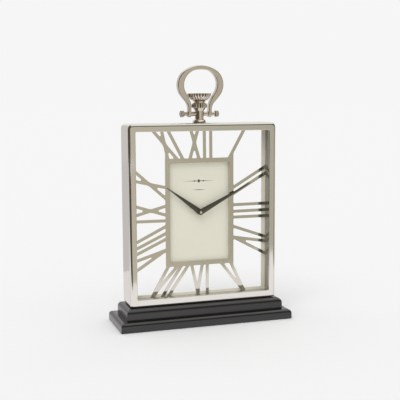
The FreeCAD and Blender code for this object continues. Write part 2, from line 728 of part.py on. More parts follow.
def stem_parts():
    """Turned stem with its spigots, ribbed collar and fluted crown."""
    foot_mid = on_circle((barrel_radius, 0), stem_foot_radius - barrel_radius, 45)
    foot_rise = stem_foot_height / (stem_foot_radius - barrel_radius)
    collar_top = collar_bottom + collar_height
    spigot_top = collar_top + neck_height + socket_depth - end_gap
    stem = turned(
        chain([(0, -spigot_depth + end_gap), (spigot_radius, -spigot_depth + end_gap), (spigot_radius, 0),
               (stem_foot_radius, 0)])
        + [arc((stem_foot_radius, 0), (foot_mid[0], foot_mid[1] * foot_rise * 0.85), (barrel_radius, stem_foot_height))]
        + chain([(barrel_radius, stem_foot_height), (barrel_radius, barrel_top),
                 (cup_radius, collar_bottom), (spigot_radius, collar_bottom),
                 (spigot_radius, spigot_top), (0, spigot_top), (0, -spigot_depth + end_gap)]), frame_top)
    stem = stem.cut([rod_x(rod_radius + screw_fit, -barrel_radius, barrel_radius, rod_z),
                     rod_x(spacer_radius + hole_clearance, spot_face, stem_foot_radius, rod_z),
                     rod_x(spacer_radius + hole_clearance, -stem_foot_radius, -spot_face, rod_z)])

    corners = [V(x, y, frame_top + collar_bottom)
               for x, y in ribbed_outline(collar_radius, collar_lobe_depth, collar_lobes)]
    collar = Part.Face(Part.makePolygon(corners + corners[:1])).extrude(V(0, 0, collar_height))
    barrel = turned(chain([(0, 0), (collar_radius - collar_bottom_bevel, 0), (collar_radius, collar_bottom_bevel),
                           (collar_radius, collar_height - collar_top_bevel),
                           (collar_radius - collar_top_bevel, collar_height), (0, collar_height), (0, 0)]),
                    frame_top + collar_bottom)
    collar = collar.common(barrel)
    collar = collar.cut(rod_z_bar(spigot_radius + screw_fit, frame_top + collar_bottom, frame_top + collar_top))

    waist_z = collar_top + neck_height
    knee_z = waist_z + waist_height
    rim_z = knee_z + knee_height
    waist = bowed((neck_radius, waist_z), (knee_radius, knee_z), -waist_hollow)
    bowl = bowed((knee_radius, knee_z), (crown_radius, rim_z), bowl_swell)
    lip_z = rim_z + crown_lip / 2
    crown = turned(
        [line((neck_radius, collar_top), (neck_radius, waist_z)), waist, bowl]
        + chain([(crown_radius, rim_z), (crown_radius - crown_lip / 2, lip_z), (crown_radius - 2 * crown_lip, lip_z),
                 (0, rim_z + crown_lip), (0, collar_top), (neck_radius, collar_top)]), frame_top)
    sweep = bowl.Curve
    flutes = []
    for i in range(crown_flutes):
        flute = Part.makeTorus(sweep.Radius, crown_flute_radius, sweep.Center + V(0, 0, frame_top), V(0, 1, 0))
        flute = flute.common(box(knee_radius, crown_radius + crown_flute_radius, -crown_flute_radius, crown_flute_radius,
                                 frame_top + knee_z, frame_top + rim_z))
        flute.rotate(V(0, 0, 0), V(0, 0, 1), (i + 0.5) * 360.0 / crown_flutes)
        flutes.append(flute)
    crown = crown.cut(flutes)
    crown = crown.cut(rod_z_bar(spigot_radius + screw_fit, frame_top + collar_top, frame_top + waist_z + socket_depth))
    return {"bow_stem": stem, "stem_collar": collar, "crown_cup": crown}


def ribbed_head(x0, x1):
    """Ribbed thumb nut head along X with eased ends."""
    corners = [V(x0, y, rod_z + z) for y, z in ribbed_outline(thumb_radius, thumb_rib_depth, thumb_ribs)]
    star = Part.Face(Part.makePolygon(corners + corners[:1])).extrude(V(x1 - x0, 0, 0))
    barrel = rod_x(thumb_radius, x0, x1, rod_z)
    barrel = barrel.makeChamfer(2 * thumb_rib_depth, [e for e in barrel.Edges if e.Closed])
    return star.common(barrel)


def rod_parts():
    """Cross rod, sleeves, collars and thumb nuts, alike on both sides."""
    sleeve = rod_x(spacer_radius, spot_face, leg_inner - bow_side_gap, rod_z)
    collar = rod_x(rod_collar_radius, leg_outer + bow_side_gap, thumb_start, rod_z)
    collar = collar.makeFillet(rod_collar_length / 4, [e for e in collar.Edges if e.Closed])
    nut_start = thumb_start + thumb_neck_length
    nut = ribbed_head(nut_start, nut_start + thumb_length).fuse(
        rod_x(thumb_neck_radius, thumb_start, nut_start + thumb_rib_depth, rod_z))
    bore = rod_x(rod_radius + screw_fit, 0, rod_end + end_gap, rod_z)

    def pair(shape):
        right = shape.cut(bore)
        return Part.makeCompound([right, right.mirror(V(0, 0, 0), V(1, 0, 0))])

    return {
        "cross_rod": rod_x(rod_radius, -rod_end, rod_end, rod_z),
        "rod_spacers": pair(sleeve),
        "rod_collars": pair(collar),
        "thumb_nuts": pair(nut),
    }


def bow_side(side, top, crown_radius, crown_end, shoulder_radius, slant, neck_radius_, leg):
    """One half of a bow curve, from its top down to the rod: crown, shoulder, slant, neck and leg."""
    crown = (0.0, top - crown_radius)
    start = on_circle(crown, crown_radius, crown_end)
    shoulder = on_circle(start, -shoulder_radius, crown_end)
    shoulder_end = on_circle(shoulder, shoulder_radius, -slant)
    lean = math.radians(slant)
    neck_x = leg + neck_radius_
    neck_start_x = neck_x - neck_radius_ * math.cos(lean)
    neck_start_z = shoulder_end[1] - (shoulder_end[0] - neck_start_x) / math.tan(lean)
    neck = (neck_x, neck_start_z - neck_radius_ * math.sin(lean))

    def place(point):
        return (side * point[0], rod_z + point[1])

    neck_mid = on_circle(neck, neck_radius_, 180 - slant / 2)
    shoulder_mid = on_circle(shoulder, shoulder_radius, (crown_end - slant) / 2)
    crown_mid = on_circle(crown, crown_radius, (90 + crown_end) / 2)
    return [
        arc(place((0, top)), place(crown_mid), place(start)),
        arc(place(start), place(shoulder_mid), place(shoulder_end)),
        line(place(shoulder_end), place((neck_start_x, neck_start_z))),
        arc(place((neck_start_x, neck_start_z)), place(neck_mid), place((leg, neck[1]))),
        line(place((leg, neck[1])), place((leg, 0))),
    ]


def bow_part():
    """Horseshoe bow with round eyes on the rod, leaning forward a little."""
    edges = []
    for side in (-1, 1):
        edges += bow_side(side, outer_top, outer_crown_radius, outer_crown_end, outer_shoulder_radius, outer_slant,
                          outer_neck_radius, leg_outer)
        edges += bow_side(side, inner_top, inner_crown_radius, inner_crown_end, inner_shoulder_radius, inner_slant,
                          inner_neck_radius, leg_inner)
        edges.append(line((side * leg_inner, rod_z), (side * leg_outer, rod_z)))
    half = bow_thickness / 2
    band = Part.Face(Part.Wire(Part.__sortEdges__(edges))).extrude(V(0, bow_thickness, 0))
    band.translate(V(0, -half, 0))
    faces = [e for e in band.Edges if abs(abs(e.BoundBox.YMin) - half) < 0.01
             and abs(e.BoundBox.YMax - e.BoundBox.YMin) < 0.01 and e.BoundBox.ZMax > rod_z + 0.01]
    band = band.makeFillet(bow_edge_round, faces)
    eyes = [rod_x(half, leg_inner, leg_outer, rod_z), rod_x(half, -leg_outer, -leg_inner, rod_z)]
    bow = band.fuse(eyes).cut(rod_x(rod_radius + running_gap, -2 * leg_outer, 2 * leg_outer, rod_z))
    bow.rotate(V(0, 0, rod_z), V(1, 0, 0), bow_lean)
    return {"bow": bow}


def main():
    os.makedirs("parts", exist_ok=True)
    parts = {}
    for group in (base_parts, frame_parts, dial_parts, movement_parts, motor_parts, battery_parts,
                  wheel_parts, hand_parts, stem_parts, rod_parts, bow_part):
        parts.update(group())
    parts["numeral_fret"] = numeral_fret()
    for name, shape in parts.items():
        shape.exportStep("parts/" + name + ".step")
        box_ = shape.BoundBox
        print("%-26s solids %2d valid %s volume %9.1f  x %7.2f %7.2f  y %6.2f %6.2f  z %7.2f %7.2f" % (
            name, len(shape.Solids), shape.isValid(), shape.Volume,
            box_.XMin, box_.XMax, box_.YMin, box_.YMax, box_.ZMin, box_.ZMax))


main()
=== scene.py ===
"""Skeleton mantel clock: finishes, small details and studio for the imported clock.

Metres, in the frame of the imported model: X to the right, Y to the back, Z up, origin under the base.
"""

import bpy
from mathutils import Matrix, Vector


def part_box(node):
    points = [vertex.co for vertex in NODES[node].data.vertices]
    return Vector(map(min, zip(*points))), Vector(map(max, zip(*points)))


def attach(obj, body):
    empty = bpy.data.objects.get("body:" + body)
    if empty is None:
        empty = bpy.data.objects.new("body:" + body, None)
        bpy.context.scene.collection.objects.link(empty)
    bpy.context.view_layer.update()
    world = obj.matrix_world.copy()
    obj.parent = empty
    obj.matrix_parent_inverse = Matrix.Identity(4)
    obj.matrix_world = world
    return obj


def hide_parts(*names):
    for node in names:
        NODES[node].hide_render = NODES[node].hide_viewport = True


bl_info = {
    "name": "Skeleton mantel clock",
    "version": (1, 0, 0),
    "blender": (4, 5, 0),
    "location": "View3D > Sidebar > Clock",
    "description": "Dresses a nickel skeleton clock on a black base and sets up its studio",
    "category": "Object",
}

import math

import bmesh
import bpy
import numpy as np
from bpy.props import FloatProperty, FloatVectorProperty, IntProperty, PointerProperty
from mathutils import Matrix

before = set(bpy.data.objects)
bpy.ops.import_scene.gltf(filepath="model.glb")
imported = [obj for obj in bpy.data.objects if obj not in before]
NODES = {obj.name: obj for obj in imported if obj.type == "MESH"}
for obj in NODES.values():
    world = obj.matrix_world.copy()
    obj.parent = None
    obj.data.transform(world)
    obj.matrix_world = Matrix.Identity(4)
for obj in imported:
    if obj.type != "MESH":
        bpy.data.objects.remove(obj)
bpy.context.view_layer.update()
DIAL_LOW, DIAL_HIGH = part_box("dial_plate")
DIAL_X = (DIAL_LOW.x + DIAL_HIGH.x) / 2
DIAL_Z = (DIAL_LOW.z + DIAL_HIGH.z) / 2
CAMERA_PLACE = (-0.39744, -1.22491, 0.34821)
CAMERA_TURN = Matrix((
    (0.95087, 0.04174, -0.30678),
    (-0.30956, 0.11189, -0.94427),
    (-0.00509, 0.99284, 0.11931)))
VIEW_XY = (0.309, 0.951)
RIGHT_XY = (0.951, -0.309)
ROOM_RADIUS = 3.5
FINISHES = {}


class Wire:
    """A shader value. Sums on it add Math nodes, and node() adds any other node."""

    def __init__(self, tree, socket=None):
        self.tree = tree
        self.socket = socket

    def node(self, kind, settings=None, inputs=None, output=0):
        """Adds a node: first its settings (stops are a ramp's), then its sockets' values or links."""
        made = self.tree.nodes.new(kind)
        for name, value in (settings or {}).items():
            if name == "stops":
                ramp = made.color_ramp.elements
                ramp[1].position, ramp[0].position = value[-1][0], value[0][0]
                for place, _ in value[1:-1]:
                    ramp.new(place)
                for element, (place, shade) in zip(ramp, value):
                    element.color = (*shade, 1.0)
            else:
                setattr(made, name, value)
        for key, value in (inputs or {}).items():
            if isinstance(value, Wire):
                self.tree.links.new(value.socket, made.inputs[key])
            else:
                made.inputs[key].default_value = value
        return Wire(self.tree, made.outputs[output]) if len(made.outputs) else None

    def beside(self, output):
        """Another output of the node that gives this value."""
        return Wire(self.tree, self.socket.node.outputs[output])

    def math(self, operation, *values, clamp=False):
        settings = {"operation": operation, "use_clamp": clamp}
        return self.node("ShaderNodeMath", settings, dict(enumerate(values)))

    def __add__(self, other):
        return self.math("ADD", self, other)

    def __radd__(self, other):
        return self.math("ADD", other, self)

    def __sub__(self, other):
        return self.math("SUBTRACT", self, other)

    def __rsub__(self, other):
        return self.math("SUBTRACT", other, self)

    def __mul__(self, other):
        return self.math("MULTIPLY", self, other)

    def __rmul__(self, other):
        return self.math("MULTIPLY", other, self)

    def __truediv__(self, other):
        return self.math("DIVIDE", self, other)

    def __abs__(self):
        return self.math("ABSOLUTE", self)

    def clamp(self):
        return self.math("ADD", self, 0.0, clamp=True)

    def mix(self, first, second):
        """Colour between two colours, with this value as the share of the second."""
        return self.node("ShaderNodeMix", {"data_type": "RGBA"}, {0: self, 6: first, 7: second}, 2)

    def noise(self, scale, detail=3.0, stretch=(1.0, 1.0, 1.0)):
        """Cloudy value of 0 to 1 over the object's own coordinates, stretched along its axes."""
        place = self.node("ShaderNodeMapping", None, {"Vector": self, "Scale": stretch})
        return self.node("ShaderNodeTexNoise", None, {"Vector": place, "Scale": scale, "Detail": detail})

    def bump(self, strength, distance):
        """Surface normal that this value raises by distance at strength 1."""
        inputs = {"Height": self, "Strength": strength, "Distance": distance}
        return self.node("ShaderNodeBump", None, inputs)


def colour(values, factor=1.0):
    """Colour times a factor, with full alpha."""
    return (*(factor * value for value in values[:3]), 1.0)


def blank_material(name):
    """New material without nodes, and a wire to add them with."""
    material = bpy.data.materials.new(name)
    material.use_nodes = True
    material.node_tree.nodes.clear()
    return material, Wire(material.node_tree)


def finish_material(name, recipe, **constants):
    """Principled material: recipe(place) gives the sockets that vary, constants the ones that don't."""
    if name not in FINISHES:
        FINISHES[name], start = blank_material(name)
        place = start.node("ShaderNodeTexCoord", None, None, "Object")
        sockets = {key.replace("_", " "): value for key, value in constants.items()}
        sockets.update(recipe(place))
        shader = start.node("ShaderNodeBsdfPrincipled", None, sockets, "BSDF")
        start.node("ShaderNodeOutputMaterial", None, {"Surface": shader})
    return FINISHES[name]


def dress(material, *names):
    """Gives CAD nodes a finish."""
    for name in names:
        NODES[name].data.materials.clear()
        NODES[name].data.materials.append(material)


class NickelLook(bpy.types.PropertyGroup):
    """Polished nickel of the frame, the numerals and the top fittings."""

    tint: FloatVectorProperty(name="Tint", description="Warm white of the frame's plating", subtype="COLOR",
                              size=3, default=(0.77, 0.755, 0.70), min=0.0, max=1.0)
    deep: FloatVectorProperty(name="Deep tint", description="Slightly darker patches in the frame's plating",
                              subtype="COLOR", size=3, default=(0.75, 0.73, 0.67), min=0.0, max=1.0)
    fret: FloatVectorProperty(name="Fret tint", description="Plating of the pierced numerals",
                              subtype="COLOR", size=3, default=(0.69, 0.67, 0.59), min=0.0, max=1.0)
    fitting: FloatVectorProperty(name="Fitting tint", description="Plating of the turned fittings",
                                 subtype="COLOR", size=3, default=(0.86, 0.79, 0.69), min=0.0, max=1.0)
    bow: FloatVectorProperty(name="Bow tint", description="Plating of the bow", subtype="COLOR", size=3,
                             default=(0.745, 0.70, 0.63), min=0.0, max=1.0)
    haze: FloatProperty(name="Haze", description="Roughness of the polish", default=0.09, min=0.0, max=1.0,
                        subtype="FACTOR")
    # Share of painted shade on the recess's walls, mixed into their plating as near-black.
    recess: FloatProperty(name="Recess", description="How dull the plating is on the recess's walls",
                          default=0.45, min=0.0, max=1.0, subtype="FACTOR")
    ledge: FloatVectorProperty(name="Ledge", description="Matt ledge behind the numerals", subtype="COLOR",
                               size=3, default=(0.93, 0.885, 0.75), min=0.0, max=1.0)
    satin: FloatProperty(name="Satin", description="Roughness of the numerals' plate", default=0.12, min=0.0,
                         max=1.0, subtype="FACTOR")
    tarnish: FloatVectorProperty(name="Tarnish", description="Brown that gathers in flutes and ribs",
                                 subtype="COLOR", size=3, default=(0.13, 0.11, 0.085), min=0.0, max=1.0)
    web: FloatProperty(name="Web", description="Radius in the inner corners of the numerals", default=0.0016,
                       unit="LENGTH")
    web_fill: FloatProperty(name="Web fill", description="Least that a web fills of a blunt corner",
                            default=0.0006, unit="LENGTH")
    web_reach: FloatProperty(name="Web reach", description="Most that a web fills of a sharp corner",
                             default=0.0080, unit="LENGTH")


class BaseLook(bpy.types.PropertyGroup):
    """Black lacquered boards, felt and pad."""

    lacquer: FloatVectorProperty(name="Lacquer", description="Black of the boards", subtype="COLOR", size=3,
                                 default=(0.006, 0.006, 0.0058), min=0.0, max=1.0)
    sheen: FloatProperty(name="Sheen", description="Roughness of the satin lacquer", default=0.21, min=0.0,
                         max=1.0, subtype="FACTOR")
    # Colour of the painted highlight on the boards' upward-facing rounded edges.
    edge_highlight: FloatVectorProperty(name="Worn edge", description="Lacquer rubbed thin along the rounded edges",
                              subtype="COLOR", size=3, default=(0.05, 0.05, 0.048), min=0.0, max=1.0)
    felt: FloatVectorProperty(name="Felt", description="Colour of the felt", subtype="COLOR", size=3,
                              default=(0.016, 0.016, 0.017), min=0.0, max=1.0)


class DialLook(bpy.types.PropertyGroup):
    """Cream dial with its printed ornament, and the dark hands."""

    cream: FloatVectorProperty(name="Cream", description="Enamel of the dial", subtype="COLOR", size=3,
                               default=(0.785, 0.765, 0.635), min=0.0, max=1.0)
    ink: FloatVectorProperty(name="Ink", description="Printed ornament", subtype="COLOR", size=3,
                             default=(0.06, 0.058, 0.05), min=0.0, max=1.0)
    rule_length: FloatProperty(name="Rule length", description="Length of the printed swelled rule",
                               default=0.062, unit="LENGTH")
    rule_rise: FloatProperty(name="Rule rise", description="Height of the rule above the hands' arbor",
                             default=0.049, unit="LENGTH")
    hand: FloatVectorProperty(name="Hands", description="Dark metal of the hands", subtype="COLOR", size=3,
                              default=(0.085, 0.08, 0.064), min=0.0, max=1.0)


class TopLook(bpy.types.PropertyGroup):
    """Flutes, lobes and ribs of the fittings above the frame."""

    crown_flutes: IntProperty(name="Crown flutes", description="Grooves round the crown", default=24, min=6,
                              max=60)
    crown_groove: FloatProperty(name="Crown groove", description="Depth of the grooves at the rim",
                                default=0.0019, unit="LENGTH")
    collar_lobes: IntProperty(name="Collar lobes", description="Lobes round the collar", default=16, min=6,
                              max=40)
    collar_depth: FloatProperty(name="Collar depth", description="Depth between two lobes", default=0.0013,
                                unit="LENGTH")
    nut_ribs: IntProperty(name="Nut ribs", description="Ribs round each thumb nut", default=22, min=8,
                          max=60)
    nut_groove: FloatProperty(name="Nut groove", description="Depth between two ribs", default=0.0006,
                              unit="LENGTH")


class StudioLook(bpy.types.PropertyGroup):
    """Floor, light and camera."""

    floor: FloatVectorProperty(name="Floor", description="Pale floor", subtype="COLOR", size=3,
                               default=(0.893, 0.893, 0.893), min=0.0, max=1.0)
    white: FloatVectorProperty(name="White", description="Background behind the clock", subtype="COLOR",
                               size=3, default=(0.922, 0.922, 0.922), min=0.0, max=1.0)
    sky: FloatProperty(name="Sky", description="Level of the soft light from all round", default=0.78,
                       min=0.0, max=2.0)
    sun: FloatProperty(name="Lamp", description="Level of the large soft lamp above", default=0.95, min=0.0,
                       max=5.0)
    table: FloatVectorProperty(name="Table", description="White sheet that the frame's foot reflects",
                               subtype="COLOR", size=3, default=(0.99, 0.965, 0.985), min=0.0, max=1.0)
    table_back: FloatVectorProperty(name="Table behind",
                                    description="Grey sheet that the left side reflects",
                                    subtype="COLOR", size=3, default=(0.625, 0.605, 0.62), min=0.0, max=1.0)
    table_side: FloatVectorProperty(name="Table beside",
                                    description="Sheet that the left side's foot reflects",
                                    subtype="COLOR", size=3, default=(0.83, 0.81, 0.825), min=0.0, max=1.0)
    lens: FloatProperty(name="Lens", description="Focal length in millimetres", default=73.577, min=10.0,
                        max=300.0)


def fine_haze(place):
    """Fine clouds on polished metal."""
    return place.noise(160.0, 4.0)


def plating(place, tint, deep, roughness):
    """Colour and roughness of plated metal: broad patches of a deeper tint, and a fine haze."""
    patches = place.noise(14.0, 2.0)
    return patches.mix(colour(tint), colour(deep)), fine_haze(place) * (roughness * 0.6) + roughness * 0.7


def polishing_lines(place):
    """Normal of very faint upright polishing lines."""
    return place.noise(900.0, 2.0, (1.0, 1.0, 0.06)).bump(0.03, 0.0001)


def nickel(piece):
    """Plating of the fret, the fittings or the bow."""
    look = bpy.context.scene.clock_nickel
    tint = getattr(look, piece)
    roughness = look.satin if piece == "fret" else look.haze

    def recipe(place):
        shade, dullness = plating(place, tint, [0.96 * value for value in tint], roughness)
        return {"Base Color": shade, "Roughness": dullness, "Normal": polishing_lines(place)}

    return finish_material("nickel_" + piece, recipe, Metallic=1.0)


def fluted_nickel():
    """Plating of the fluted and ribbed pieces, browner and duller in their hollows."""
    look = bpy.context.scene.clock_nickel

    def recipe(place):
        shade, dullness = plating(place, look.fitting, [0.96 * value for value in look.fitting], look.haze)
        hollow = place.node("ShaderNodeAttribute", {"attribute_name": "hollow"}, None, "Fac")
        stain = (hollow * (fine_haze(place) * 0.4 + 0.45)).clamp()
        return {"Base Color": stain.mix(shade, colour(look.tarnish)), "Roughness": dullness + stain * 0.12}

    return finish_material("nickel_fluted", recipe, Metallic=1.0)


def frame_nickel():
    """Plating of the frame: polished outside, matt on the ledge behind the numerals, and with painted
    shade on the recess's walls.

    The painted shade is darker towards the front of the walls, and half as dark along the recess's foot.
    """
    look = bpy.context.scene.clock_nickel
    low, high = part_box("numeral_fret")
    middle_z = (low.z + high.z) / 2
    gap, mouth, foot_rise, blur = 0.0003, 0.0240, 0.002, 0.0001
    # Painted shade on the recess's walls: how much more it darkens towards the front, and its near-black
    # colour.
    wall_depth, front_shading = 0.0198, 0.15
    painted_shade_colour = (0.02, 0.02, 0.02)

    def recipe(place):
        x = place.node("ShaderNodeSeparateXYZ", None, {"Vector": place}, "X")
        y, z = x.beside("Y"), x.beside("Z")

        def below(value, limit):
            """1 under the limit, 0 from the blur's width over it."""
            return (1.0 - (value - limit) / blur).clamp()

        recess = below(abs(x), high.x + gap) * below(abs(z - middle_z), high.z - middle_z + gap)
        recess = recess * below(0.0 - y, mouth)
        ledge = recess * (1.0 - below(y, high.y - 2 * blur))
        wall = recess - ledge
        foot = below(z, low.z + foot_rise)
        # Painted shade: the walls' plating is mixed towards near-black, more towards the front and half as
        # much along the foot.
        shaded = wall * (0.0 - y) / wall_depth * front_shading + wall * look.recess
        shaded = (shaded * (1.0 - foot * 0.5)).clamp()
        shade, dullness = plating(place, look.tint, look.deep, look.haze)
        return {
            "Base Color": ledge.mix(shaded.mix(shade, colour(painted_shade_colour)), colour(look.ledge)),
            "Metallic": 1.0 - ledge * 0.85,
            "Roughness": dullness + ledge * 0.5,
            "Normal": polishing_lines(place),
        }

    return finish_material("nickel_frame", recipe)


def lacquer():
    """Satin black over fine wood grain along the boards, with a painted highlight on up-facing rounded
    edges.
    """
    look = bpy.context.scene.clock_base
    # Painted highlight: the height of the surface's normal at its middle, and the spread around it.
    highlight_up, highlight_spread = 0.80, 0.17

    def recipe(place):
        grain = place.noise(420.0, 4.0, (0.04, 1.0, 1.0))
        cloud = place.noise(18.0, 3.0)
        facing = place.node("ShaderNodeNewGeometry", None, None, "Normal")
        up = place.node("ShaderNodeSeparateXYZ", None, {"Vector": facing}, "Z")
        # Painted highlight: paler lacquer, mottled by a cloud, where the normal tilts about 37 degrees from
        # straight up on the round-overs.
        painted_highlight = ((1.0 - abs(up - highlight_up) / highlight_spread) * (cloud * 0.8 + 0.6)).clamp()
        black = cloud.mix(colour(look.lacquer), colour(look.lacquer, 1.5))
        return {
            "Base Color": painted_highlight.mix(black, colour(look.edge_highlight)),
            "Roughness": cloud * 0.10 + grain * 0.06 + (look.sheen - 0.08),
            "Normal": grain.bump(0.12, 0.0002),
        }

    return finish_material("black_lacquer", recipe, IOR=1.66)


def felt():
    """Short matted fibres."""
    look = bpy.context.scene.clock_base

    def recipe(place):
        fibre = place.noise(2600.0, 5.0)
        return {
            "Base Color": fibre.mix(colour(look.felt), colour(look.felt, 2.2)),
            "Roughness": fibre * 0.1 + 0.88,
            "Normal": fibre.bump(0.7, 0.0004),
        }

    return finish_material("felt", recipe, Sheen_Weight=0.3)


def rubber():
    """Matt black sheet with a fine grain."""
    def recipe(place):
        grain = place.noise(1500.0, 3.0)
        return {
            "Base Color": grain.mix((0.008, 0.008, 0.008, 1.0), (0.014, 0.014, 0.014, 1.0)),
            "Roughness": grain * 0.15 + 0.6,
            "Normal": grain.bump(0.2, 0.0002),
        }

    return finish_material("seat_rubber", recipe)


def dial_enamel():
    """Cream enamel with a faint mottle, and two printed rules with three lozenges above the arbor."""
    look = bpy.context.scene.clock_dial
    rise, half = DIAL_Z + look.rule_rise, look.rule_length / 2
    rule_half, lower_half, lower_drop, lower_share = 0.0007, 0.0006, 0.014, 0.46
    spacing, large, small = 0.0075, 0.0034, 0.0018
    rule_blur, mark_blur = 0.25, 0.12
    ink_depth, ink_blur = 0.0003, 0.0001

    def recipe(place):
        x = place.node("ShaderNodeSeparateXYZ", None, {"Vector": place}, "X")
        y, z = x.beside("Y"), x.beside("Z")

        def lozenge(centre_x, centre_z, half_x, half_z, soft):
            """1 inside |x|/a + |z|/b < 1, falling to 0 over the soft share."""
            reach = abs(x - centre_x) / half_x + abs(z - centre_z) / half_z
            return ((1.0 - reach) / soft).clamp()

        printed = lozenge(DIAL_X, rise, half, rule_half, rule_blur)
        for aside, size in ((0.0, large), (-spacing, small), (spacing, small)):
            mark = lozenge(DIAL_X + aside, rise, size * 0.8, size, mark_blur)
            printed = printed.math("MAXIMUM", printed, mark)
        lower = lozenge(DIAL_X, rise - lower_drop, half * lower_share, lower_half, rule_blur)
        printed = printed.math("MAXIMUM", printed, lower)
        printed = printed * ((DIAL_LOW.y + ink_depth - y) / ink_blur).clamp()
        mottle = place.noise(40.0, 4.0)
        grain = place.noise(1800.0, 2.0)
        enamel = mottle.mix(colour(look.cream), colour(look.cream, 0.965))
        return {
            "Base Color": printed.mix(enamel, colour(look.ink)),
            "Roughness": grain * 0.1 + 0.5,
            "Normal": grain.bump(0.05, 0.0001),
        }

    return finish_material("dial_cream", recipe)


def dark_metal():
    """Gunmetal of the hands with fine brushing."""
    look = bpy.context.scene.clock_dial

    def recipe(place):
        brush = place.noise(1100.0, 3.0, (1.0, 1.0, 0.25))
        return {
            "Base Color": brush.mix(colour(look.hand), colour(look.hand, 1.35)),
            "Roughness": brush * 0.14 + 0.32,
            "Normal": brush.bump(0.06, 0.0001),
        }

    return finish_material("hand_dark", recipe, Metallic=0.75)


def moulded(name, shade, roughness=0.48):
    """Moulded plastic with a spark-eroded skin."""
    def recipe(place):
        texture = place.noise(2200.0, 3.0)
        tone = place.noise(60.0, 2.0)
        return {
            "Base Color": tone.mix(colour(shade), colour(shade, 1.25)),
            "Roughness": texture * 0.16 + (roughness - 0.08),
            "Normal": texture.bump(0.12, 0.0001),
        }

    return finish_material(name, recipe)


def bare_metal(name, shade, roughness=0.3):
    """Turned or rolled metal with fine tool lines."""
    def recipe(place):
        lines = place.noise(1500.0, 3.0, (1.0, 0.12, 1.0))
        tone = place.noise(90.0, 2.0)
        return {
            "Base Color": tone.mix(colour(shade), colour(shade, 0.86)),
            "Roughness": lines * 0.2 + (roughness - 0.1),
            "Normal": lines.bump(0.08, 0.0001),
        }

    return finish_material(name, recipe, Metallic=1.0)


def battery_sleeve():
    """Plain dark sleeve with a pale band towards the nub and bare metal at both ends."""
    low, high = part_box("battery")
    band_length, sleeve_half = 0.016, 0.0236

    def recipe(place):
        x = place.node("ShaderNodeSeparateXYZ", None, {"Vector": place}, "X")
        band = ((x - (high.x - band_length)) / 0.0004).clamp()
        ends = ((abs(x - (low.x + high.x) / 2) - sleeve_half) / 0.0002).clamp()
        fine = place.noise(1200.0, 3.0)
        sleeve = band.mix((0.03, 0.032, 0.036, 1.0), (0.62, 0.60, 0.56, 1.0))
        return {
            "Base Color": ends.mix(sleeve, (0.6, 0.6, 0.6, 1.0)),
            "Metallic": ends,
            "Roughness": fine * 0.12 + 0.26,
        }

    return finish_material("battery_can", recipe)


class CLOCK_OT_base(bpy.types.Operator):
    """Finish the boards, the felt, the pad and the steel pieces"""

    bl_idname = "clock.base"
    bl_label = "Base"

    def execute(self, context):
        dress(lacquer(), "base_lower_tier", "base_upper_tier")
        dress(felt(), "base_felt")
        dress(rubber(), "frame_seat_pad", "movement_gasket")
        dress(bare_metal("screw_steel", (0.56, 0.56, 0.57)), "tier_screws", "frame_bolts", "dial_screws",
              "minute_arbor", "stator", "battery_contact_positive", "battery_contact_negative")
        return {"FINISHED"}


class CLOCK_OT_nickel(bpy.types.Operator):
    """Plate the frame, the numerals and the top fittings"""

    bl_idname = "clock.nickel"
    bl_label = "Nickel"

    def execute(self, context):
        dress(frame_nickel(), "frame_bottom_rail", "frame_top_rail", "frame_left_stile", "frame_right_stile")
        dress(nickel("fitting"), "hand_nut", "bow_stem", "cross_rod", "rod_spacers", "rod_collars")
        dress(nickel("bow"), "bow")
        dress(nickel("fret"), "numeral_fret", "dial_spacer_frame")
        return {"FINISHED"}


def skin(name, grids, body, node, sharp=38.0, hollow=None):
    """Piece in place of a CAD node, or beside it when node is None: grids of points joined into quads.

    Each grid is (points, loops round its rows, loops round its columns); coinciding points are merged.
    hollow gives each grid point's depth in its flute, from 0 on the ridge to 1 at the bottom.
    """
    points, quads, start = [], [], 0
    for grid, loop_rows, loop_columns in grids:
        index = start + np.arange(grid.shape[0] * grid.shape[1]).reshape(grid.shape[:2])
        start = index.max() + 1
        index = np.vstack([index, index[:1]]) if loop_rows else index
        index = np.hstack([index, index[:, :1]]) if loop_columns else index
        corners = (index[:-1, :-1], index[1:, :-1], index[1:, 1:], index[:-1, 1:])
        quads.append(np.stack(corners, axis=-1).reshape(-1, 4))
        points.append(grid.reshape(-1, 3))
    mesh = bpy.data.meshes.new(name)
    mesh.from_pydata(np.concatenate(points).tolist(), [], np.concatenate(quads).tolist())
    if hollow is not None:
        depth = np.concatenate([hollow.ravel()] * len(grids)).astype(np.float32)
        mesh.attributes.new("hollow", "FLOAT", "POINT").data.foreach_set("value", depth)
    shell = bmesh.new()
    shell.from_mesh(mesh)
    bmesh.ops.remove_doubles(shell, verts=shell.verts, dist=1e-7)
    bmesh.ops.recalc_face_normals(shell, faces=shell.faces)
    shell.to_mesh(mesh)
    shell.free()
    mesh.polygons.foreach_set("use_smooth", np.ones(len(mesh.polygons), bool))
    mesh.set_sharp_from_angle(angle=math.radians(sharp))
    piece = bpy.data.objects.new(name, mesh)
    bpy.context.scene.collection.objects.link(piece)
    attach(piece, body)
    if node:
        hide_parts(node)
    return piece


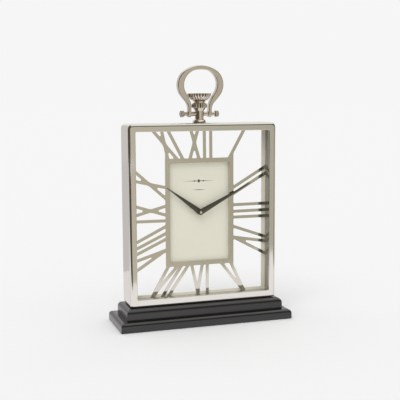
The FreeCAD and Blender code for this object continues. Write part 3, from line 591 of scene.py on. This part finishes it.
def plate_corners(node):
    """Front outline of a flat plate: its corners (x, z) and the steps from each to the ones beside it.

    A triangle's edge belongs to the outline when no other front triangle runs along it the other way.
    The last three arrays tell whether the corner itself, the one before it and the one after it stand out.
    """
    mesh = NODES[node].data
    places = np.empty(3 * len(mesh.vertices), np.float32)
    mesh.vertices.foreach_get("co", places)
    places, index = np.unique(places.reshape(-1, 3), axis=0, return_inverse=True)
    loops = np.empty(len(mesh.loops), np.int32)
    mesh.loops.foreach_get("vertex_index", loops)
    triangles = index.ravel()[loops].reshape(-1, 3)
    front = triangles[(places[triangles, 1] < places[:, 1].min() + 1e-6).all(axis=1)]
    runs = np.stack([front, np.roll(front, -1, axis=1)], axis=-1).reshape(-1, 2)
    ways, ways_back = runs @ np.array([len(places), 1]), runs @ np.array([1, len(places)])
    rim = runs[~np.isin(ways, ways_back)]
    here = np.sort(rim[:, 0])
    before, after = rim[np.argsort(rim[:, 1]), 0], rim[np.argsort(rim[:, 0]), 1]
    flat = places[:, [0, 2]].astype(float)
    back, on = flat[before] - flat[here], flat[after] - flat[here]
    outward = back[:, 0] * on[:, 1] - back[:, 1] * on[:, 0] < 0.0
    back_outward, on_outward = (outward[np.searchsorted(here, other)] for other in (before, after))
    return flat[here], back, on, outward, back_outward, on_outward


def fret_webs():
    """Webs in the numerals' inner corners: fans from the corner to an arc that touches both edges.

    The arc's radius is the web's, larger at a blunt corner and smaller at a sharp one, so that the fill,
    which is the radius times (1 / sin of half the corner - 1), keeps between its least and its most.
    Where a short edge leads to the surround's own corner, the fan ends on the line that carries the
    surround's side on.
    """
    look = bpy.context.scene.clock_nickel
    low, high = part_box("numeral_fret")
    blunt, square = math.radians(154), math.radians(88)
    nearby, edge_share, stations = 0.005, 0.48, 13

    corner, back, on, outward, back_outward, on_outward = plate_corners("numeral_fret")
    back_length, on_length = (np.linalg.norm(step, axis=1, keepdims=True) for step in (back, on))
    back, on = back / back_length, on / on_length
    angle = np.arccos(np.clip((back * on).sum(axis=1, keepdims=True), -1.0, 1.0))
    at_window = np.abs(corner - (DIAL_X, DIAL_Z)) <= (DIAL_HIGH.x - DIAL_X, DIAL_HIGH.z - DIAL_Z)
    inner = ~outward & ~at_window.all(axis=1) & (angle[:, 0] < blunt)
    swapped = back_length < on_length
    leads_out = np.where(swapped[:, 0], back_outward, on_outward)[inner]
    long_way, short_way = np.where(swapped, on, back)[inner], np.where(swapped, back, on)[inner]
    corner, angle, short = corner[inner], angle[inner], np.minimum(back_length, on_length)[inner]
    at_surround = leads_out & (short[:, 0] < nearby) & (angle[:, 0] < square)

    middle = long_way + short_way
    middle /= np.linalg.norm(middle, axis=1, keepdims=True)
    aside = short_way - np.cos(angle / 2) * middle
    aside /= np.linalg.norm(aside, axis=1, keepdims=True)
    gain = 1.0 / np.sin(angle / 2) - 1.0
    radius = np.clip(look.web, look.web_fill / gain, look.web_reach / gain)
    radius = np.minimum(radius, edge_share * short * np.tan(angle / 2))
    share = np.linspace(-1.0, 1.0, stations)
    turn = share * (math.pi - angle) / 2
    out, across = radius / np.sin(angle / 2) - radius * np.cos(turn), radius * np.sin(turn)
    arc = corner[:, None] + out[..., None] * middle[:, None] + across[..., None] * aside[:, None]
    carried, met = corner + long_way * short / np.cos(angle), corner + short_way * short
    line = carried[:, None] + (share[:, None] + 1.0) / 2 * (met - carried)[:, None]

    edge = np.where(at_surround[:, None, None], line, arc)
    start = np.broadcast_to(corner[:, None], edge.shape)
    flat = np.stack([start, edge, edge, start], axis=2)
    depth = np.broadcast_to([low.y, low.y, high.y, high.y], flat.shape[:3])
    fans = np.stack([flat[..., 0], depth, flat[..., 1]], axis=-1)
    caps = fans[:, [0, -1]].mean(axis=2, keepdims=True).repeat(4, axis=2)
    fans = np.concatenate([caps[:, :1], fans, caps[:, 1:]], axis=1)
    return skin("fret_webs", [(fan, False, True) for fan in fans], "clock_body", None)


class CLOCK_OT_webs(bpy.types.Operator):
    """Fill the inner corners of the pierced numerals"""

    bl_idname = "clock.webs"
    bl_label = "Numeral webs"

    def execute(self, context):
        fret_webs().data.materials.append(nickel("fret"))
        return {"FINISHED"}


def profile(corners, steps):
    """Stations (radius, height) along straight runs between corners, with steps points in each run."""
    corners = np.array(corners, float)
    share = np.linspace(0.0, 1.0, steps, endpoint=False)[None, :, None]
    runs = corners[:-1, None] + share * (corners[1:, None] - corners[:-1, None])
    return np.vstack([runs.reshape(-1, 2), corners[-1:]])


def swept(start, middle, end, steps):
    """Stations on the circle through three (radius, height) points, from the first to the last."""
    (ax, ay), (bx, by), (cx, cy) = start, middle, end
    twice = 2 * (ax * (by - cy) + bx * (cy - ay) + cx * (ay - by))
    a2, b2, c2 = ax * ax + ay * ay, bx * bx + by * by, cx * cx + cy * cy
    centre = np.array([a2 * (by - cy) + b2 * (cy - ay) + c2 * (ay - by),
                       a2 * (cx - bx) + b2 * (ax - cx) + c2 * (bx - ax)]) / twice
    angles = np.unwrap([math.atan2(y - centre[1], x - centre[0]) for x, y in (start, middle, end)])
    turn = np.linspace(angles[0], angles[2], steps)
    size = math.hypot(ax - centre[0], ay - centre[1])
    return centre + size * np.stack([np.cos(turn), np.sin(turn)], axis=1)


def fluted_crown():
    """Crown: radius(angle, height) = profile radius less a groove that deepens from the knee to the rim."""
    low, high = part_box("crown_cup")
    look = bpy.context.scene.clock_top
    rim, tall = (high.x - low.x) / 2, high.z - low.z
    waist, knee = 0.45 * rim, 0.645 * rim
    bore, socket, foot, bowl, lip = 0.0041, 0.0098, 0.0008, 0.0098, 0.0006
    edge = tall - 2 * lip
    knee_z = edge - bowl
    neck_swell, bowl_swell = (0.0098, 0.55 * knee_z + 0.0004), (0.0166, edge - 0.0054)
    outline = np.vstack([
        profile([(0.0, socket), (bore, socket), (bore, 0.0), (waist, 0.0), (waist, foot)], 3),
        swept((waist, foot), neck_swell, (knee, knee_z), 8)[1:],
        swept((knee, knee_z), bowl_swell, (rim, edge), 18)[1:],
        profile([(rim - 0.0002, edge + lip * 0.7), (rim - 0.0008, edge + lip), (rim - 0.0020, edge + lip),
                 (rim - 0.0030, edge - 0.0004), (0.0096, edge + 0.0002), (0.0060, edge + 1.5 * lip),
                 (0.0, tall)], 4)])
    angle = np.linspace(0.0, 2 * math.pi, 24 * look.crown_flutes, endpoint=False)[:, None]
    radius, height = outline[:, 0], outline[:, 1]
    rise = np.clip((height - knee_z + 0.001) / (edge - knee_z), 0.0, 1.0)
    outside = np.clip((radius - 0.72 * rim * (height > edge) - 0.5 * bore) / (0.2 * rim), 0.0, 1.0)
    groove = (0.5 + 0.5 * np.cos(look.crown_flutes * angle)) ** 1.4
    hollow = groove * rise * outside
    reach = radius - look.crown_groove * hollow
    points = np.stack([reach * np.sin(angle), reach * np.cos(angle), low.z + height + 0 * angle], axis=-1)
    return skin("crown", [(points, True, False)], "clock_body", "crown_cup", 38.0, hollow)


def lobed_collar():
    """Collar: radius(angle) = profile radius less lobe depth times (1 - |cos(lobes angle / 2)|)."""
    low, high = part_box("stem_collar")
    look = bpy.context.scene.clock_top
    rim, tall = (high.x - low.x) / 2, high.z - low.z
    bore, top_bevel, low_bevel = 0.0041, 0.0022, 0.0012
    outline = profile([(bore, 0.0), (rim - low_bevel, 0.0), (rim, low_bevel), (rim, tall - top_bevel),
                       (rim - top_bevel, tall), (bore, tall)], 5)
    angle = np.linspace(0.0, 2 * math.pi, 20 * look.collar_lobes, endpoint=False)[:, None]
    radius, height = outline[:, 0], outline[:, 1]
    outside = np.clip((radius - 0.6 * rim) / (0.3 * rim), 0.0, 1.0)
    groove = outside * (1.0 - np.abs(np.cos(look.collar_lobes * angle / 2)))
    reach = radius - look.collar_depth * groove
    points = np.stack([reach * np.sin(angle), reach * np.cos(angle), low.z + height + 0 * angle], axis=-1)
    return skin("collar", [(points, True, True)], "clock_body", "stem_collar", 30.0, groove)


def knurled_nuts():
    """Thumb nuts along X: radius(angle) = profile radius less depth times (1 - |cos(ribs angle / 2)|)."""
    low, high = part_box("thumb_nuts")
    rod_low, rod_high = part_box("cross_rod")
    look = bpy.context.scene.clock_top
    rod = (rod_low.z + rod_high.z) / 2
    rim, tip = (high.z - low.z) / 2, high.x
    head, bore, neck, bevel, rib_gap = 0.0064, 0.00252, 0.0029, 0.0011, 0.0012
    start, deep = tip - head, tip - 0.0017
    back = start - 0.0024
    outline = np.vstack([
        profile([(0.0, deep), (bore, deep), (bore, back), (neck, back), (neck, start), (rim - bevel, start),
                 (rim, start + 0.0010)], 3),
        profile([(rim, start + rib_gap), (rim, tip - rib_gap)], 6),
        profile([(rim - 0.0003, tip - 0.0005), (rim - bevel, tip), (0.55 * rim, tip),
                 (0.48 * rim, tip - 0.0005), (0.0, tip - 0.0002)], 3)])
    angle = np.linspace(0.0, 2 * math.pi, 12 * look.nut_ribs, endpoint=False)[:, None]
    radius, along = outline[:, 0], outline[:, 1] + 0 * angle
    outside = np.clip((radius - 0.7 * rim) / (0.15 * rim), 0.0, 1.0)
    groove = outside * (1.0 - np.abs(np.cos(look.nut_ribs * angle / 2)))
    reach = radius - look.nut_groove * groove
    across, rise = reach * np.sin(angle), rod + reach * np.cos(angle)
    sides = [(np.stack([side * along, across, rise], axis=-1), True, False) for side in (-1.0, 1.0)]
    return skin("thumb_nut_pair", sides, "clock_body", "thumb_nuts", 30.0, groove)


class CLOCK_OT_top(bpy.types.Operator):
    """Turn the fluted crown, the lobed collar and the knurled thumb nuts"""

    bl_idname = "clock.top"
    bl_label = "Top fittings"

    def execute(self, context):
        for piece in (fluted_crown(), lobed_collar(), knurled_nuts()):
            piece.data.materials.append(fluted_nickel())
        return {"FINISHED"}


class CLOCK_OT_dial(bpy.types.Operator):
    """Finish the dial, the hands and the nut behind them"""

    bl_idname = "clock.dial"
    bl_label = "Dial and hands"

    def execute(self, context):
        dress(dial_enamel(), "dial_plate")
        dress(dark_metal(), "hour_hand", "minute_hand")
        dress(bare_metal("nut_brass", (0.78, 0.60, 0.28), 0.25), "movement_nut")
        return {"FINISHED"}


def raised_pads(outlines, y0, y1):
    """Grids of flat pads on the plane y0, up to y1: rings of each outline, drawn in a little at the top."""
    rings = [(1.0, y0), (1.0, y0 + 0.6 * (y1 - y0)), (0.97, y1), (0.0, y1)]
    grids = []
    for outline in outlines:
        middle = outline.mean(axis=0)
        flat = np.stack([middle + share * (outline - middle) for share, _ in rings], axis=1)
        depth = np.broadcast_to([y for _, y in rings], flat.shape[:2])
        grids.append((np.stack([flat[..., 0], depth, flat[..., 1]], axis=-1), True, False))
    return grids


def bar_outline(x, z, half_x, half_z):
    """Corners of a small bar."""
    return np.array([(x + i * half_x, z + j * half_z) for i, j in ((-1, -1), (1, -1), (1, 1), (-1, 1))])


def round_outline(x, z, corners):
    """Corners given as (radius, angle) about a point."""
    return np.array([(x + r * math.cos(a), z + r * math.sin(a)) for r, a in corners])


def cover_marks():
    """Marks on the rear cover: a turning arrow of bars round the knob, plus and minus by the battery."""
    low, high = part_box("movement_rear_cover")
    knob_low, knob_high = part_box("setting_knob")
    knob_x, knob_z = (knob_low.x + knob_high.x) / 2, (knob_low.z + knob_high.z) / 2
    turns = np.radians(np.arange(-50.0, 231.0, 14.0))
    near, far, half_turn = 0.0082, 0.0092, 0.11
    bars = [[(near, a - half_turn), (far, a - half_turn), (far, a + half_turn), (near, a + half_turn)]
            for a in turns]
    tip = turns[-1] + 0.2
    arrow = [(near - 0.0013, tip), (far + 0.0013, tip), (near + 0.0005, tip + 0.36)]
    outlines = [round_outline(knob_x, knob_z, corners) for corners in (*bars, arrow)]
    sign_in, sign_z, long_half, thin_half = 0.006, low.z + 0.0045, 0.0017, 0.0004
    outlines += [bar_outline(high.x - sign_in, sign_z, long_half, thin_half),
                 bar_outline(high.x - sign_in, sign_z, thin_half, long_half),
                 bar_outline(low.x + sign_in, sign_z, long_half, thin_half)]
    pads = raised_pads(outlines, high.y - 0.0001, high.y + 0.0003)
    return skin("cover_marks", pads, "clock_body", None, 30.0)


class CLOCK_OT_movement(bpy.types.Operator):
    """Finish the movement, its wheels and the battery"""

    bl_idname = "clock.movement"
    bl_label = "Movement"

    def execute(self, context):
        black = moulded("movement_black", (0.022, 0.022, 0.023))
        dress(black, "movement_front_case", "movement_rear_cover", "setting_knob")
        cover_marks().data.materials.append(black)
        dress(moulded("wheel_plastic", (0.72, 0.72, 0.69), 0.4), "hour_wheel", "motion_wheel")
        dress(bare_metal("coil_copper", (0.72, 0.36, 0.20), 0.35), "coil")
        dress(moulded("board_green", (0.03, 0.16, 0.07), 0.35), "circuit_board")
        dress(battery_sleeve(), "battery")
        return {"FINISHED"}


def stage_piece(name, points, faces):
    """Mesh that belongs to the studio and not to the clock."""
    mesh = bpy.data.meshes.new(name)
    mesh.from_pydata(points, [], faces)
    piece = bpy.data.objects.new(name, mesh)
    bpy.context.scene.collection.objects.link(piece)
    return piece


def flat_sheet(name, corners):
    """Flat sheet of the stage, with its corners in order round it."""
    return stage_piece(name, corners, [tuple(range(len(corners)))])


def glossy_only(piece):
    """Keeps a stage piece out of sight except in polished metal, as the surroundings of a studio are."""
    piece.visible_camera = False
    piece.visible_diffuse = False
    piece.visible_transmission = False
    piece.visible_shadow = False
    return piece


def glow(name, shade):
    """Even glow of a sheet."""
    material, start = blank_material(name)
    light = start.node("ShaderNodeEmission", None, {"Color": colour(shade), "Strength": 1.0})
    start.node("ShaderNodeOutputMaterial", None, {"Surface": light})
    return material


def room_dome():
    """Half sphere round the stage: x, y and z from azimuth and elevation on a grid."""
    columns, rows = 73, 19
    azimuth, elevation = np.linspace(-math.pi, math.pi, columns), np.linspace(0.0, math.pi / 2, rows)
    turn, lift = np.meshgrid(azimuth, elevation, indexing="ij")
    sphere = np.stack([np.cos(lift) * np.sin(turn), -np.cos(lift) * np.cos(turn), np.sin(lift)], axis=-1)
    index = np.arange(columns * rows).reshape(columns, rows)
    quads = np.stack([index[:-1, :-1], index[:-1, 1:], index[1:, 1:], index[1:, :-1]], axis=-1)
    return stage_piece("room", (ROOM_RADIUS * sphere).reshape(-1, 3).tolist(), quads.reshape(-1, 4).tolist())


def room_glow():
    """Room round the stage: warm in front, dark to the left, pale behind.

    Above the front it is dark, and overhead bright except on the left. The stops give its colour by degrees
    from the front, with the left positive.
    """
    white = tuple(bpy.context.scene.clock_studio.white)
    stops = [(degrees / 360.0 + 0.5, shade) for degrees, shade in (
        (-180, white), (-138, (0.80, 0.79, 0.77)), (-112, (0.46, 0.44, 0.41)), (-80, (0.34, 0.32, 0.29)),
        (-55, (0.31, 0.29, 0.25)), (-38, (0.51, 0.485, 0.405)), (-22, (0.525, 0.50, 0.42)),
        (-12, (0.605, 0.56, 0.475)), (8, (0.615, 0.57, 0.485)), (14, (0.42, 0.40, 0.36)),
        (20, (0.13, 0.12, 0.10)), (36, (0.10, 0.083, 0.068)), (108, (0.08, 0.064, 0.05)),
        (124, (0.40, 0.385, 0.37)), (138, (0.66, 0.635, 0.62)), (172, (0.68, 0.65, 0.64)), (178, white))]
    dark_from, dark_fade, dark = 0.231, 0.05, (0.11, 0.093, 0.075, 1.0)
    bright_from, bright_fade, bright = 0.62, 0.10, (0.95, 0.95, 0.94, 1.0)
    back_from, back_fade, left_from, left_fade = -0.1, 0.4, 0.15, 0.25
    material, start = blank_material("room")
    place = start.node("ShaderNodeTexCoord", None, None, "Object")
    x = place.node("ShaderNodeSeparateXYZ", None, {"Vector": place}, "X")
    y, z = x.beside("Y"), x.beside("Z")
    azimuth = x.math("ARCTAN2", 0.0 - x, 0.0 - y) / (2 * math.pi) + 0.5
    round_about = azimuth.node("ShaderNodeValToRGB", {"stops": stops}, {"Fac": azimuth})
    height = z / ROOM_RADIUS
    behind = ((y / ROOM_RADIUS - back_from) / back_fade).clamp()
    above = ((height - dark_from) / dark_fade).clamp() * (1.0 - behind)
    not_left = (1.0 - ((0.0 - x) / ROOM_RADIUS - left_from) / left_fade).clamp()
    overhead = ((height - bright_from) / bright_fade).clamp() * not_left
    shade = overhead.mix(above.mix(round_about, dark), bright)
    light = start.node("ShaderNodeEmission", None, {"Color": shade, "Strength": 1.0})
    start.node("ShaderNodeOutputMaterial", None, {"Surface": light})
    return material


def table_sheets(room):
    """Flat sheets that only reflections see: the room's floor and the parts of a white table.

    Their corners are metres ahead of the camera and to its right.
    """
    look = bpy.context.scene.clock_studio
    behind, near, back, far, wide, side, lift = -1.5, 1.19, 1.6, 4.3, 3.3, 0.52, 0.002
    front = ((0.957, -wide), (0.957, 0.10), (0.988, 0.12), (1.005, 0.33), (0.90, 0.40), (0.855, side))
    outlines = {
        "room_floor": (*front, (far, side), (far, wide), (behind, wide), (behind, -wide)),
        "table_front": (*front, (near, side), (near, -wide)),
        "table_side": ((back, -wide), (back, side), (near, side), (near, -wide)),
        "table_back": ((back, -wide), (back, side), (far, side), (far, -wide)),
    }
    lights = {
        "room_floor": room,
        "table_front": glow("table_front", look.table),
        "table_side": glow("table_side", look.table_side),
        "table_back": glow("table_back", look.table_back),
    }
    for name, outline in outlines.items():
        flat = np.array(CAMERA_PLACE[:2]) + np.array(outline) @ np.array([VIEW_XY, RIGHT_XY])
        corners = [(x, y, lift) for x, y in flat.tolist()]
        glossy_only(flat_sheet(name, corners)).data.materials.append(lights[name])


def studio_floor():
    """Plain pale floor."""
    reach = 40.0
    paint, start = blank_material("floor")
    pale = start.node("ShaderNodeBsdfDiffuse", None, {"Color": colour(bpy.context.scene.clock_studio.floor)})
    start.node("ShaderNodeOutputMaterial", None, {"Surface": pale})
    corners = [(-reach, -reach, 0.0), (reach, -reach, 0.0), (reach, reach, 0.0), (-reach, reach, 0.0)]
    flat_sheet("floor", corners).data.materials.append(paint)


def studio_sky():
    """Even light from all round. The camera and polished metal see the white of the background instead."""
    scene = bpy.context.scene
    look = scene.clock_studio
    scene.world = bpy.data.worlds.new("studio")
    scene.world.use_nodes = True
    scene.world.node_tree.nodes.clear()
    start = Wire(scene.world.node_tree)
    camera_ray = start.node("ShaderNodeLightPath", None, None, "Is Camera Ray")
    seen = camera_ray + camera_ray.beside("Is Glossy Ray") + camera_ray.beside("Is Transmission Ray")
    lit = start.node("ShaderNodeBackground", None, {"Color": colour((1.0, 1.0, 1.0)), "Strength": look.sky})
    shown = start.node("ShaderNodeBackground", None, {"Color": colour(look.white), "Strength": 1.0})
    both = start.node("ShaderNodeMixShader", None, {0: seen.clamp(), 1: lit, 2: shown})
    start.node("ShaderNodeOutputWorld", None, {"Surface": both})


def soft_lamp():
    """One large soft lamp above, a little to the front and the left."""
    spread, to_front, to_left = math.radians(34), math.radians(28), math.radians(-18)
    scene = bpy.context.scene
    lamp = bpy.data.lights.new("soft_lamp", "SUN")
    lamp.energy = scene.clock_studio.sun
    lamp.angle = spread
    hung = bpy.data.objects.new("soft_lamp", lamp)
    hung.rotation_euler = (to_front, to_left, 0.0)
    scene.collection.objects.link(hung)


def studio_camera():
    """Camera at the photograph's viewing angle."""
    scene = bpy.context.scene
    camera = bpy.data.cameras.new("camera")
    camera.lens = scene.clock_studio.lens
    camera.sensor_width = 36.0
    camera.clip_start = 0.05
    stand = bpy.data.objects.new("camera", camera)
    stand.matrix_world = Matrix.Translation(CAMERA_PLACE) @ CAMERA_TURN.to_4x4()
    scene.collection.objects.link(stand)
    scene.camera = stand


class CLOCK_OT_stage(bpy.types.Operator):
    """Set the floor, the soft light, what the metal reflects and the camera"""

    bl_idname = "clock.stage"
    bl_label = "Studio"

    def execute(self, context):
        context.scene.view_settings.view_transform = "Standard"
        studio_floor()
        studio_sky()
        soft_lamp()
        room = room_glow()
        glossy_only(room_dome()).data.materials.append(room)
        table_sheets(room)
        studio_camera()
        return {"FINISHED"}


class CLOCK_PT_panel(bpy.types.Panel):
    """Sizes, colours and steps of the clock"""

    bl_idname = "CLOCK_PT_panel"
    bl_label = "Skeleton clock"
    bl_space_type = "VIEW_3D"
    bl_region_type = "UI"
    bl_category = "Clock"

    def draw(self, context):
        for name in LOOKS:
            look = getattr(context.scene, name)
            box = self.layout.box()
            for key in look.bl_rna.properties.keys():
                if key not in ("rna_type", "name"):
                    box.prop(look, key)
        for operator in OPERATORS:
            self.layout.operator(operator.bl_idname)


LOOKS = {"clock_nickel": NickelLook, "clock_base": BaseLook, "clock_dial": DialLook, "clock_top": TopLook,
         "clock_studio": StudioLook}
OPERATORS = (CLOCK_OT_base, CLOCK_OT_nickel, CLOCK_OT_webs, CLOCK_OT_top, CLOCK_OT_dial, CLOCK_OT_movement,
             CLOCK_OT_stage)


def register():
    for made in (*LOOKS.values(), *OPERATORS, CLOCK_PT_panel):
        bpy.utils.register_class(made)
    for name, group in LOOKS.items():
        setattr(bpy.types.Scene, name, PointerProperty(type=group))


def unregister():
    for name in LOOKS:
        delattr(bpy.types.Scene, name)
    for made in reversed((*LOOKS.values(), *OPERATORS, CLOCK_PT_panel)):
        bpy.utils.unregister_class(made)


def main():
    register()
    bpy.ops.clock.base()
    bpy.ops.clock.nickel()
    bpy.ops.clock.webs()
    bpy.ops.clock.top()
    bpy.ops.clock.dial()
    bpy.ops.clock.movement()
    bpy.ops.clock.stage()


if __name__ == "__main__":
    main()
